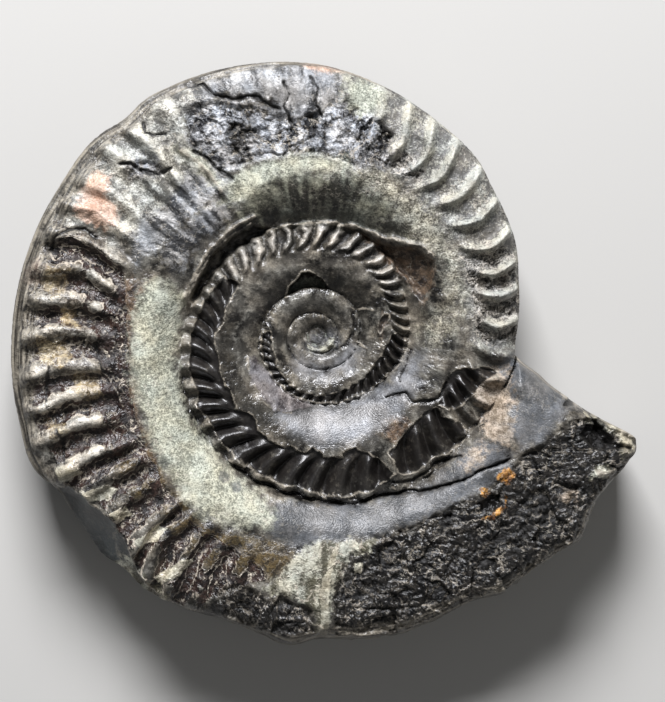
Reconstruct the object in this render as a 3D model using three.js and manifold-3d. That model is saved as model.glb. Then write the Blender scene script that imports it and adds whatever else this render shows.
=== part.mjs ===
// A fossil ammonite of a keeled, sickle-ribbed kind, lying on its far side.
//
// The animal's shell is a tube coiled in one plane.  Each whorl touches the one before it, so the
// fossil is built the way it grew: a section of the tube is swept round the coil, widening as it
// goes, in four lengths that are then joined.  The mouth end is broken off at a slant.  A low lump
// of mudstone still fills the far side of the coil, and its worn underside is the flat face that
// the fossil rests on.
//
// Units are millimetres and degrees, +Z is up.  Angles along the coil run on from whorl to whorl,
// anticlockwise seen from above: the outer whorl starts at OUTER_WHORL.  The origin is the middle
// of the underside of the whole fossil's box.
import * as THREE from 'three';
import { mergeVertices } from 'three/addons/utils/BufferGeometryUtils.js';
import Module from 'manifold-3d';

const WHORL = 360;
const OUTER_WHORL = 2 * WHORL;

// Level of the coil's middle plane above the resting face.
const COIL_LEVEL = 14.5;

// Half the thickness of the tube where the outer whorl starts.  It doubles in each earlier whorl
// and grows by a third over the last one.
const HALF_THICKNESS = 9.2;
const EARLY_GROWTH = 2;
const LATE_GROWTH = 1.35;

// How far the tube reaches past its visible seams, where the whorls overlap.
const OVERLAP = 1.2;
const DORSAL_OVERLAP = 0.32;

// Ribs: angle between neighbours, and height from trough to crest at the start of the outer whorl.
const RIB_STEP_OUTER = 7.2;
const RIB_STEP_INNER = 9;
const RIB_HEIGHT = 1.5;
const FIRST_RIB = 90;

// The tube's sweep starts in the middle of the coil and ends at the broken mouth.
const FIRST_ANGLE = -180;
const LAST_ANGLE = 1065;

// The broken mouth slants: its outer edge lags behind its inner edge by this angle.
const MOUTH_SLANT = 9;
const SLANT_START = 1000;

// Seam between a whorl and the one inside it, as [angle, distance from the axis].
const SEAM = [
  [360, 8.6], [450, 10], [540, 12], [630, 14], [690, 16.4], [720, 18.8], [750, 20], [780, 22.4],
  [810, 23.7], [870, 25.6], [900, 28.2], [930, 30.2], [990, 33.5], [1020, 36], [1050, 36.8],
  [1075, 41.2],
];
const SEAM_GROWTH = 2.3;

// Outer edge of the last whorl, as [angle, distance from the axis].  It is worn, chipped by the
// loss of the keel past 925, and runs out to a broken point at its end.
const RIM = [
  [714, 41.1], [730, 42.8], [750, 46.5], [765, 49.2], [790, 52.7], [810, 56.2], [840, 59.7],
  [848, 60.2], [851, 59.4], [855, 60.9], [880, 61.9], [900, 63.1], [915, 64], [928, 64], [931, 62.4],
  [940, 62.5], [945, 63.4], [965, 62.5], [979, 62.8], [985, 64.4], [990, 62.9], [1005, 64.4],
  [1018, 64.2], [1026, 66.2], [1035, 67.1], [1043, 69.5], [1048, 67.9], [1055, 68.8], [1061, 70.6],
];

// Half of the tube's section, from the back of the tube to the keel on its outer edge: share of
// the height, share of the half thickness, forward sweep of the growth lines in degrees, and share
// of the rib height.
const SECTION = [
  [0.0, 0.3, 5, 0], [0.08, 0.68, 5, 0], [0.25, 0.92, 5, 0], [0.46, 1, 3, 0.5],
  [0.74, 0.95, 0, 1], [0.92, 0.74, 0.5, 0.8], [0.95, 0.22, 2, 0], [1, 0.08, 2.5, 0],
];

// Outline of the mudstone lump under the coil, and the roundness of its lower edge.
const LUMP_OUTLINE = [
  [29, -4], [24, 12], [10, 21], [-9, 22], [-25, 13], [-31, -4], [-25, -21], [-8, -30], [13, -28],
  [26, -18],
];
const LUMP_TOP = COIL_LEVEL - 1;
const LUMP_EDGE = 2.5;
const LUMP_STEPS = 4;

// First chamber, in the middle of the coil.
const FIRST_CHAMBER = 3;
const FIRST_CHAMBER_FLATNESS = 0.5;

function readCurve(points, angle) {
  const last = points.length - 1;
  if (angle <= points[0][0]) return points[0][1];
  if (angle >= points[last][0]) return points[last][1];
  const next = points.findIndex((point) => point[0] > angle);
  const [startAngle, start] = points[next - 1];
  const [endAngle, end] = points[next];
  return THREE.MathUtils.mapLinear(angle, startAngle, endAngle, start, end);
}

function seamRadius(angle) {
  const firstAngle = SEAM[0][0];
  if (angle >= firstAngle) return readCurve(SEAM, angle);
  return SEAM[0][1] * SEAM_GROWTH ** ((angle - firstAngle) / WHORL);
}

function outerRadius(angle) {
  if (angle >= RIM[0][0]) return readCurve(RIM, angle);
  return seamRadius(angle + WHORL) + OVERLAP * seamRadius(angle) / seamRadius(OUTER_WHORL);
}

function halfThickness(angle) {
  const growth = angle < OUTER_WHORL ? EARLY_GROWTH : LATE_GROWTH;
  return HALF_THICKNESS * growth ** ((angle - OUTER_WHORL) / WHORL);
}

// One point of the tube: its place on the section, the angle of the section along the coil, and
// whether that section runs along a crest (1), a trough (-1) or smooth shell (0).
function tubePoint([height, thickness, sweep, ribShare], side, angle, rib) {
  const slant = MOUTH_SLANT * THREE.MathUtils.smoothstep(angle, SLANT_START, LAST_ANGLE);
  const turned = angle + sweep - slant * (height - 0.3);
  const back = seamRadius(turned) * (1 - DORSAL_OVERLAP * 0.3);
  const radius = THREE.MathUtils.lerp(back, outerRadius(turned), height);
  const ribHeight = RIB_HEIGHT * halfThickness(angle) / HALF_THICKNESS;
  const lift = halfThickness(turned) * thickness + rib * ribShare * ribHeight / 2;
  const radians = THREE.MathUtils.degToRad(turned);
  return [radius * Math.cos(radians), radius * Math.sin(radians), COIL_LEVEL + side * lift];
}

// The closed loop of points round one section: out along the near flank, back along the far one.
function sectionLoop(angle, rib) {
  const near = SECTION.map((point) => tubePoint(point, 1, angle, rib));
  const far = SECTION.map((point) => tubePoint(point, -1, angle, rib)).reverse();
  return [...near, ...far];
}

// Angles of the sections, with a crest and a trough for each rib.
function sectionAngles() {
  const stations = [];
  let angle = FIRST_ANGLE;
  let rib = 1;
  while (angle < LAST_ANGLE) {
    stations.push({ angle, rib: angle > FIRST_RIB ? rib : 0 });
    angle += (angle < OUTER_WHORL ? RIB_STEP_INNER : RIB_STEP_OUTER) / 2;
    rib = -rib;
  }
  stations.push({ angle: LAST_ANGLE, rib: 0 });
  return stations;
}

// A closed mesh through a run of section loops, with a fan over each end.
function skinLoops(loops) {
  const size = loops[0].length;
  const positions = loops.flat();
  const triangles = [];
  for (let step = 0; step < loops.length - 1; step += 1) {
    for (let side = 0; side < size; side += 1) {
      const here = step * size + side;
      const beside = step * size + (side + 1) % size;
      triangles.push(here, beside, here + size, beside, beside + size, here + size);
    }
  }
  const ends = [[0, 1], [(loops.length - 1) * size, -1]];
  for (const [start, turn] of ends) {
    const middle = new THREE.Vector3();
    for (let side = 0; side < size; side += 1) {
      middle.add(new THREE.Vector3(...positions[start + side]));
    }
    positions.push(middle.divideScalar(size).toArray());
    for (let side = 0; side < size; side += 1) {
      const here = start + side;
      const beside = start + (side + 1) % size;
      const edge = turn > 0 ? [beside, here] : [here, beside];
      triangles.push(...edge, positions.length - 1);
    }
  }
  const geometry = new THREE.BufferGeometry();
  geometry.setAttribute('position', new THREE.Float32BufferAttribute(positions.flat(), 3));
  geometry.setIndex(triangles);
  return geometry;
}

function mudstoneLump() {
  const points = LUMP_OUTLINE.map(([x, y]) => new THREE.Vector3(x, y, 0));
  const curve = new THREE.CatmullRomCurve3(points, true);
  const outline = curve.getPoints(LUMP_OUTLINE.length * LUMP_STEPS).slice(0, -1);
  const shape = new THREE.Shape(outline.map((point) => new THREE.Vector2(point.x, point.y)));
  const geometry = new THREE.ExtrudeGeometry(shape, {
    depth: LUMP_TOP - 2 * LUMP_EDGE,
    bevelThickness: LUMP_EDGE,
    bevelSize: LUMP_EDGE,
    bevelOffset: -LUMP_EDGE,
    bevelSegments: 2,
  });
  return geometry.translate(0, 0, LUMP_EDGE);
}

function firstChamber() {
  const geometry = new THREE.SphereGeometry(FIRST_CHAMBER, 16, 8);
  geometry.scale(1, 1, FIRST_CHAMBER_FLATNESS);
  return geometry.translate(0, 0, COIL_LEVEL);
}

const wasm = await Module();
wasm.setup();

function toSolid(geometry) {
  const bare = geometry.clone();
  bare.deleteAttribute('normal');
  bare.deleteAttribute('uv');
  const merged = mergeVertices(bare);
  return new wasm.Manifold(new wasm.Mesh({
    numProp: 3,
    vertProperties: new Float32Array(merged.attributes.position.array),
    triVerts: new Uint32Array(merged.index.array),
  }));
}

function toGeometry(solid) {
  const mesh = solid.getMesh();
  const geometry = new THREE.BufferGeometry();
  geometry.setAttribute('position', new THREE.BufferAttribute(mesh.vertProperties, 3));
  geometry.setIndex(new THREE.BufferAttribute(mesh.triVerts, 1));
  geometry.computeVertexNormals();
  return geometry;
}

// The tube is skinned in lengths of less than a whorl, because a longer one would pass through
// itself.  Each length starts one section inside the one before it, and then the lengths, the lump
// and the first chamber are joined in one solid.
function ammoniteSolid() {
  const stations = sectionAngles();
  const lengths = 4;
  const perLength = Math.ceil((stations.length - 1) / lengths);
  let fossil = toSolid(mudstoneLump()).add(toSolid(firstChamber()));
  for (let start = 0; start < stations.length - 1; start += perLength) {
    const run = stations.slice(Math.max(0, start - 1), start + perLength + 1);
    const loops = run.map(({ angle, rib }) => sectionLoop(angle, rib));
    fossil = fossil.add(toSolid(skinLoops(loops)));
  }
  return fossil;
}

function ammonite() {
  const geometry = toGeometry(ammoniteSolid());
  geometry.computeBoundingBox();
  const { min, max } = geometry.boundingBox;
  geometry.translate(-(min.x + max.x) / 2, -(min.y + max.y) / 2, -min.z);
  const stone = new THREE.MeshStandardMaterial({ color: 0x4b4742, roughness: 0.5, metalness: 0 });
  const mesh = new THREE.Mesh(geometry, stone);
  mesh.name = 'ammonite';
  return mesh;
}

const group = new THREE.Group();
group.add(ammonite());

export default group;
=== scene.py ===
import math
from types import SimpleNamespace

import bpy
import numpy as np
from mathutils import Matrix, Vector


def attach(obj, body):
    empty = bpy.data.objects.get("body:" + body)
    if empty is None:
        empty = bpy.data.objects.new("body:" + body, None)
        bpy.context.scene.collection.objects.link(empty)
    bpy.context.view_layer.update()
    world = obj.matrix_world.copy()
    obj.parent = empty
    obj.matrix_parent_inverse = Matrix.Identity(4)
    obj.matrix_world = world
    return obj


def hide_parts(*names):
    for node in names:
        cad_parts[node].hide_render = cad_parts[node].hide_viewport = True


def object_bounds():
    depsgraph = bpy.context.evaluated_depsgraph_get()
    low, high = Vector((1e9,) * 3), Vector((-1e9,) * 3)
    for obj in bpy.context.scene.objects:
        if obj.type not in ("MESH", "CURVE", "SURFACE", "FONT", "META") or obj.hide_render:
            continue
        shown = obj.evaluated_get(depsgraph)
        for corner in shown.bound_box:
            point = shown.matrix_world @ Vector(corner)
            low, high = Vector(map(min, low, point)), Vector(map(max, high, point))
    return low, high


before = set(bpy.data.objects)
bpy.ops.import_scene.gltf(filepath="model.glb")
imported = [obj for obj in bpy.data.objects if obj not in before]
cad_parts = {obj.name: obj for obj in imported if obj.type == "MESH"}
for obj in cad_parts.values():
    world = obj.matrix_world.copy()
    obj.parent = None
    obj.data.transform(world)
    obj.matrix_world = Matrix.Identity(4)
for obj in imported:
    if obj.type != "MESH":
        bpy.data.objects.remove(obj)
cad_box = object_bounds()

# ---------------------------------------------------------------------------------------------
# The coil. The animal's shell, since turned to stone, was a tube coiled in one plane with each
# whorl grown against the one inside it. A place on the fossil is told by its angle along the
# coil and its share of the way across the whorl.
# ---------------------------------------------------------------------------------------------

# Lengths are in millimetres and angles in degrees, anticlockwise seen from the preserved side.
# The outer whorl starts at 720 and each one inside it starts a turn earlier.
TURN = 360
OUTER_WHORL = 720
MOUTH_ANGLE = -5.5

# Seam between a whorl and the one inside it: (angle, distance from the coil's axis).
SEAM = (
    (-270, 2.0), (-180, 2.5), (-90, 3.6), (0, 4.2), (90, 4.7), (150, 5.9), (190, 6.2), (270, 6.9),
    (330, 8.0), (360, 8.7), (390, 9.5), (450, 10.0), (480, 10.4), (510, 11.2), (540, 12.0),
    (570, 12.5), (600, 13.2), (630, 14.0), (660, 15.0), (690, 16.4), (705, 17.6), (720, 18.8),
    (735, 19.3), (750, 20.0), (765, 21.2), (780, 22.6), (810, 23.7), (840, 24.5), (870, 25.6),
    (885, 26.8), (900, 28.2), (930, 30.2), (960, 31.8), (990, 33.5), (1020, 36.0), (1050, 36.8),
    (1062, 39.0), (1074.5, 41.2),
)

# Outer edge of the fossil: worn on the right, notched where the keel has flaked off at 209,
# and run out to a broken beak at 341, from where the mouth's fracture runs back to the coil.
RIM = (
    (-5.5, 41.0), (0, 41.7), (6, 42.5), (15, 43.7), (25, 45.8), (35, 47.1), (41, 48.0),
    (46, 49.3), (60, 51.0), (75, 53.5), (90, 56.2), (105, 58.0), (120, 59.7), (127, 60.3),
    (130, 59.9), (133, 60.1), (136, 60.9), (150, 61.5), (165, 62.3), (180, 63.1), (195, 64.0),
    (207, 64.0), (209.5, 62.6), (214, 62.2), (221, 62.6), (225, 63.4), (229, 62.6), (235, 63.3),
    (243, 62.8), (250, 62.1), (258, 62.7), (264, 64.5), (270, 63.0), (277, 63.8), (285, 64.4),
    (295, 64.0), (301, 64.5), (306, 66.2), (311, 66.3), (317, 67.6), (323, 69.5), (327, 68.0),
    (333, 68.4), (338, 70.1), (341, 70.6), (342.5, 68.6), (343.5, 62.4), (344.6, 57.6),
    (346.2, 53.5), (348.2, 49.5), (350.3, 46.7), (352.4, 43.4), (354.5, 41.2),
)

# Where the ribs start, as a share of the way from the seam to the outer edge.
RIB_START = (
    (-270, 0.7), (180, 0.65), (270, 0.66), (330, 0.62), (360, 0.6), (450, 0.56), (540, 0.57),
    (600, 0.54), (640, 0.5), (690, 0.52), (720, 0.53), (750, 0.49), (780, 0.43), (810, 0.41),
    (870, 0.37), (900, 0.34), (960, 0.33), (1000, 0.3), (1075, 0.3),
)

# Half the thickness of the tube where the outer whorl starts, its growth in a whorl, and the width
# over which the outer whorl's shoulder is rounded.
HALF_THICKNESS = 9.2
EARLY_GROWTH = 2.0
LATE_GROWTH = 1.35
SHOULDER_WIDTH = 6.5


def smooth_curve(points):
    """A curve through (angle, value) points, read at any angle."""
    angles = np.array([point[0] for point in points], float)
    values = np.array([point[1] for point in points], float)
    slopes = np.gradient(values, angles)

    def read(angle):
        angle = np.clip(angle, angles[0], angles[-1])
        here = np.clip(np.searchsorted(angles, angle) - 1, 0, len(angles) - 2)
        span = angles[here + 1] - angles[here]
        step = (angle - angles[here]) / span
        rest = 1 - step
        start = (1 + 2 * step) * rest ** 2 * values[here]
        end = step ** 2 * (3 - 2 * step) * values[here + 1]
        bend = step * rest * (rest * slopes[here] - step * slopes[here + 1]) * span
        return start + end + bend

    return read


seam_radius = smooth_curve(SEAM)
rim_radius = smooth_curve(RIM)
rib_start = smooth_curve(RIB_START)


def half_thickness(coil):
    growth = np.where(coil < OUTER_WHORL, EARLY_GROWTH, LATE_GROWTH)
    return HALF_THICKNESS * growth ** ((coil - OUTER_WHORL) / TURN)


def find_spot(x, y):
    """Where points of the plan lie on the coil."""
    spot = SimpleNamespace(x=x, y=y, radius=np.hypot(x, y))
    spot.angle = (np.degrees(np.arctan2(y, x)) - MOUTH_ANGLE) % TURN + MOUTH_ANGLE
    spot.coil = spot.angle + OUTER_WHORL
    spot.inner = seam_radius(spot.coil)
    spot.outer = rim_radius(spot.angle)
    for turn in (1, 0, -1, -2):
        coil = spot.angle + turn * TURN
        outer = seam_radius(coil + TURN)
        inside = spot.radius < outer
        spot.coil = np.where(inside, coil, spot.coil)
        spot.inner = np.where(inside, seam_radius(coil), spot.inner)
        spot.outer = np.where(inside, outer, spot.outer)
    width = np.maximum(spot.outer - spot.inner, 0.5)
    spot.across = np.clip((spot.radius - spot.inner) / width, 0, 1)
    spot.ribs_from = rib_start(spot.coil)
    spot.up_slope = np.clip(spot.across / spot.ribs_from, 0, 1)
    spot.on_ribs = np.clip((spot.across - spot.ribs_from) / (1 - spot.ribs_from), 0, 1)
    spot.to_rim = rim_radius(spot.angle) - spot.radius
    spot.is_outer = ease(OUTER_WHORL - 30, OUTER_WHORL - 6, spot.coil)
    return spot


def ease(low, high, value):
    """0 below low, 1 above high, and a smooth step between them."""
    share = np.clip((value - low) / (high - low), 0, 1)
    return share * share * (3 - 2 * share)


def near(value, width):
    """1 where value is 0, fading over width on both sides."""
    return np.exp(-(value / width) ** 2)


# How many random values each way the patterns are drawn from before they repeat.
MOTTLE_TABLE = 128
CRYSTAL_TABLE = 64


def mottle(x, y, size, seed, octaves=3):
    """Soft random variation from -1 to 1, with blotches of the size given."""
    rng = np.random.default_rng(seed)
    total = np.zeros_like(x)
    weight = 0
    for octave in range(octaves):
        table = rng.uniform(-1, 1, (MOTTLE_TABLE, MOTTLE_TABLE))
        u = x / size * 2 ** octave + rng.uniform(0, MOTTLE_TABLE)
        v = y / size * 2 ** octave + rng.uniform(0, MOTTLE_TABLE)
        column = np.floor(u).astype(int)
        row = np.floor(v).astype(int)
        u = ease(0, 1, u - column)
        v = ease(0, 1, v - row)
        corner = [
            table[(row + down) % MOTTLE_TABLE, (column + along) % MOTTLE_TABLE]
            for down in (0, 1) for along in (0, 1)
        ]
        upper = corner[0] + (corner[1] - corner[0]) * u
        lower = corner[2] + (corner[3] - corner[2]) * u
        total += (upper + (lower - upper) * v) / 2 ** octave
        weight += 1 / 2 ** octave
    return total / weight


def crystals(x, y, size, seed):
    """Random cells: each one's level, its tilted face, and the distance to its edge in cells."""
    table = np.random.default_rng(seed).random((5, CRYSTAL_TABLE, CRYSTAL_TABLE))
    u = x / size
    v = y / size
    column = np.floor(u).astype(int)
    row = np.floor(v).astype(int)
    nearest = np.full_like(x, 9.0)
    second = np.full_like(x, 9.0)
    level = np.zeros_like(x)
    face = np.zeros_like(x)
    for down in (-1, 0, 1):
        for along in (-1, 0, 1):
            cell = table[:, (row + down) % CRYSTAL_TABLE, (column + along) % CRYSTAL_TABLE]
            off_u = u - column - along - cell[0]
            off_v = v - row - down - cell[1]
            gap = np.hypot(off_u, off_v)
            closer = gap < nearest
            second = np.where(closer, nearest, np.minimum(second, gap))
            tilt = (cell[3] - 0.5) * off_u + (cell[4] - 0.5) * off_v
            level = np.where(closer, cell[2], level)
            face = np.where(closer, cell[2] - 0.5 + 1.5 * tilt, face)
            nearest = np.minimum(nearest, gap)
    return level, face, second - nearest


def flakes(x, y, size, seed):
    """Tilted plates with ragged steps between them, as stone that splits off in flakes leaves."""
    level = 3.5 * mottle(x, y, size, seed, 5)
    step = np.floor(level)
    return step + ease(0.38, 0.62, level - step) - level


def whorl_height(spot):
    """Height of the smooth whorls above the coil's middle plane."""
    thick = half_thickness(spot.coil)
    floor = 0.86 * half_thickness(spot.coil - TURN) - 0.03 * thick
    rise = 1 - (1 - spot.up_slope) ** 2.3
    flank = thick * (1 - (0.14 - 0.09 * spot.is_outer) * spot.on_ribs ** 2)
    groove = 0.03 * thick * near(spot.up_slope - 1 + spot.on_ribs * 3, 0.25) * spot.is_outer
    shoulder = 0.34 * thick * np.clip(1 - spot.to_rim / SHOULDER_WIDTH, 0, 1) ** 2.4 * spot.is_outer
    seam = 0.35 * near(spot.radius - spot.inner, 0.35) * (1 - spot.is_outer)
    return floor + (flank - floor) * rise - groove - shoulder - seam


# ---------------------------------------------------------------------------------------------
# The ribs. Each one is a fold of the shell, swept forward in a sickle at its inner end and
# nearly straight at its outer end. They are worn on the last whorl, lost in the damaged patch at
# its top, and fresh and sharp where later shell has flaked off the whorls inside it.
# ---------------------------------------------------------------------------------------------
RIB_CRESTS = (
    156, 165, 175, 183, 190, 199, 209, 219, 228, 237, 246, 256, 266, 276, 286, 295, 304, 313, 321,
    329, 336, 343, 350, 357, 364, 371, 379, 387, 395, 403, 411, 420, 429, 438, 447, 456, 465, 474,
    483, 492, 500, 508, 517, 525, 534, 542, 552, 561, 569.5, 577.5, 586, 596, 606, 617, 626, 636,
    646, 657, 669, 677, 686, 692, 698, 706, 714, 724, 733, 740, 748, 756.5, 764.5, 773, 780, 787,
    795, 803, 811, 819, 827, 835, 843, 851, 857, 865, 870.5, 877.5, 884.5, 891.5, 898.5, 906.5,
    912.5, 919, 927, 932.5, 939, 947.5, 952, 957.5, 963, 970, 977, 985, 993, 1001, 1010, 1020,
)
RIB_HEIGHT = (
    (160, 0), (175, 0.6), (240, 0.9), (330, 1.2), (360, 1.7), (450, 2.3), (500, 2.1), (530, 1.7),
    (545, 1.8), (650, 1.9), (700, 2.0), (716, 1.9), (725, 2.3), (745, 2.2), (770, 1.8), (795, 1.3),
    (803, 0.6), (845, 0.8), (852, 1.8), (868, 1.3), (880, 1.95), (905, 1.9), (925, 1.8),
    (950, 1.65), (965, 1.2), (980, 0.4), (1075, 0),
)

rib_height = smooth_curve(RIB_HEIGHT)


def rib_crest(spot):
    """1 along the crests of the ribs, 0 along the troughs between them."""
    straight = np.clip(1 - spot.on_ribs / 0.55, 0, 1)
    worn_sweep = np.where(spot.coil < 820, 6, 3) * straight ** 2
    worn_sweep += 1.5 * ease(0.5, 1, spot.on_ribs)
    fresh_sweep = 9 * (1 - spot.on_ribs) ** 2
    sweep = fresh_sweep + (worn_sweep - fresh_sweep) * spot.is_outer
    wander = mottle(spot.x, spot.y, 7, 11, 2) * (0.6 + 0.3 * spot.is_outer)
    wander += 2.2 * mottle(spot.x, spot.y, 1.6, 13, 2) * near(spot.coil - 455, 55)
    count = np.interp(spot.coil - sweep + wander, RIB_CRESTS, np.arange(len(RIB_CRESTS)))
    return 0.5 + 0.5 * np.cos(2 * np.pi * count)


def rib_relief(spot):
    crest = rib_crest(spot)
    starts = ease(0, 0.28, spot.on_ribs)
    ends = 1 - 0.5 * ease(0.86, 1, spot.on_ribs) * spot.is_outer
    uneven = 1 + 0.3 * mottle(spot.x, spot.y, 5, 12, 2)
    fresh = ease(-0.5, 0.5, spot.window)
    narrow = 2.4 * near(spot.coil - 762, 55) + 0.3 * near(spot.coil - 905, 55)
    narrow = 1.2 + narrow * spot.is_outer - 0.5 * fresh
    height = rib_height(spot.coil) * (1 + 0.25 * fresh)
    return (crest ** narrow - 0.6 + 0.1 * narrow) * height * starts * ends * uneven


# ---------------------------------------------------------------------------------------------
# Breaks in the shell. The shell is a skin of calcite half a millimetre thick. Where it has
# flaked off, the fresh ribs under it lie open between ragged cream edges; elsewhere it is
# cracked, chipped at the seams and, in one place, stove in.
# ---------------------------------------------------------------------------------------------
SHELL = 0.55

# Distances to outlines and routes are worked out up to this far.
REACH = 6.0

# Outlines of the places where later shell has flaked off, as (angle, distance from the axis).
RIB_WINDOWS = (
    ((146, 19.6), (165, 20.2), (180, 21.2), (200, 21.8), (220, 22.6), (225, 21.6), (232, 21.0),
     (237, 22.6), (240, 23.2), (250, 23.9), (257, 23.2), (262, 23.9), (267, 22.8), (272, 24.7),
     (281, 25.3), (284, 23.9), (288, 24.1), (292, 25.5), (297, 29.0), (299, 32.0), (290, 33.6),
     (280, 33.2), (270, 32.3), (255, 31.2), (240, 30.6), (225, 29.2), (210, 28.6), (195, 27.4),
     (180, 26.6), (170, 25.2), (158, 24.2), (147, 23.4)),
    ((301, 28.0), (308, 27.0), (313, 26.4), (325, 26.7), (329, 27.8), (327, 30.3), (329, 34.0),
     (327.5, 35.8), (324, 36.2), (319, 35.6), (315, 34.6), (309.5, 34.2), (305, 34.2), (300, 32.5)),
    ((331, 27.8), (337.7, 27.1), (342.6, 27.6), (346, 28.8), (347.8, 31.0), (349.2, 34.4),
     (349.4, 37.6), (348, 38.1), (344.8, 35.4), (340.6, 34.0), (336.7, 32.7), (333, 31.6),
     (330.5, 30.8)),
    ((172, 9.6), (195, 10.0), (215, 10.6), (235, 11.2), (250, 11.9), (268, 12.3), (285, 12.4),
     (300, 12.4), (315, 12.5), (330, 12.9), (345, 13.8), (356, 14.6), (2, 15.2), (2, 18.3),
     (350, 18.2), (335, 17.2), (315, 15.4), (300, 14.9), (285, 14.4), (270, 14.2), (255, 13.6),
     (240, 13.1), (225, 12.7), (205, 12.3), (190, 11.9), (176, 11.5)),
)

# Outline of the small chip on the right of the inner whorls.
CHIP = ((1, 12.9), (9, 13.8), (13, 14.9), (18, 15.4), (20, 14.4), (16, 13.0), (8, 12.6))

# Hollows: the stove-in chamber, the recess under the seam's broken edge, the gap behind the
# layered edge on the left, the cave under the beak and the pits. Each is an outline, a depth,
# the width of its wall and how dark it is painted, with clay and painted shade.
HOLLOWS = (
    (((127, 10.7), (121, 11.8), (111, 12.7), (105, 13.5), (99, 13.5), (93, 12.9), (86, 12.2),
      (81, 11.3), (79, 10.4), (91, 10.0), (105, 10.2), (118, 10.5)), 4.0, 0.5, 0.8),
    (((74, 23.4), (64, 23.4), (57, 23.6), (50, 25.0), (42, 27.6), (34, 28.0), (27, 26.6),
      (20, 24.4), (17, 22.6), (24, 21.6), (35, 21.6), (47, 21.6), (58, 21.8), (68, 22.6)),
     2.6, 1.2, 0.1),
    (((113, 24.2), (120, 27.0), (133, 27.4), (143, 27.6), (153, 27.6), (163, 28.0), (166, 26.6),
      (158, 25.2), (147, 24.8), (135, 24.4), (122, 23.8)), 1.9, 0.9, 0.7),
    (((312.5, 48.3), (314.5, 50.8), (317.8, 50.8), (319, 49.4), (317.5, 47.6), (314.6, 47.2)),
     1.6, 0.7, 0.8),
    (CHIP, 0.5, 0.25, 0.3),
    (((342.0, 57.8), (342.4, 61.5), (341.0, 65.4), (338.4, 65.2), (337.6, 60.5), (339.4, 56.8)),
     2.8, 0.8, 0.85),
)

# Plates of shell that stand above their surroundings: outline and step.
VIOLET_PLATE = (
    (195, 14.8), (200, 13.4), (207, 12.9), (220, 12.4), (233, 12.8), (246, 13.2), (259, 13.6),
    (263, 14.8), (249, 16.6), (238, 17.6), (229, 17.4), (218, 16.7), (206, 16.2),
)
PLATES = (
    (VIOLET_PLATE, 0.45),
    (((300, 17.0), (321, 19.0), (328, 21.2), (327, 23.6), (330, 25.8), (336, 27.0), (341, 27.0),
      (346, 27.6), (352, 30.0), (0, 30), (10, 29), (5, 22), (355, 19.5), (343, 18.6), (325, 17.6)),
     0.2),
)

# Cracks: route, width and depth.
CRACKS = (
    (((119, 58.2), (115, 57.0), (113.5, 53.9), (110, 51.8), (105, 50.8), (100, 47.3)), 0.35, 1.1),
    (((124, 45.5), (122, 43.0), (120.5, 39.5), (119, 37.0)), 0.3, 0.8),
    (((161.5, 57.6), (159, 57.4), (156.8, 55.3), (155.2, 52.6), (156, 50)), 0.3, 0.8),
    (((139, 53.5), (137.3, 52.3), (137, 49.8), (134.5, 46.7), (131, 46)), 0.3, 0.9),
    (((129.6, 56.4), (130.6, 54.6), (129.4, 52.6), (127, 52)), 0.25, 0.7),
    (((262, 9.3), (270, 8.3), (283, 7.4), (290, 6.8)), 0.16, 0.4),
    (((352, 19.4), (342, 18.9), (332, 19.2)), 0.18, 0.4),
    (((318, 18.6), (327, 20.9), (325.5, 23.6), (328.5, 25.7), (333, 27.4), (340, 27.6)), 0.25, 0.7),
    (((300, 4.3), (322, 4.8), (343, 6.3), (0, 7.2), (20, 8.2), (35, 9.0)), 0.35, 0.5),
    (((206, 58.0), (200, 56.5), (193, 57.5), (186, 55.5)), 0.25, 0.4),
    (((98, 52.6), (97, 50.0), (99, 47.5), (97.5, 44.5)), 0.25, 0.7),
    (((92, 53.2), (90.5, 50.5), (91.5, 47.5), (89, 45)), 0.25, 0.6),
    (((344.5, 53.2), (346.2, 55.6), (344.4, 58.0), (341.5, 61.0), (339.2, 64.4), (340.2, 68.5)),
     0.5, 1.8),
    (((181, 45.6), (188, 44.8), (193, 42.6), (197, 41.0)), 0.2, 0.35),
    (((297, 33.6), (303, 35.4), (310, 35.6), (316, 36.2), (320, 38.0)), 0.3, 0.9),
)

# The split along the seam at the bottom, where the last whorl has parted from the one inside it.
SEAM_SPLIT = (
    (236, 31.6), (245, 32.5), (255, 32.7), (265, 33.2), (275, 34.2), (282, 35.4), (287, 34.8),
    (292, 35.6), (300, 36.8), (305, 38.4), (310, 39.7), (315, 41.2), (320, 42.9), (324, 44.6),
    (327, 46.2),
)

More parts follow.
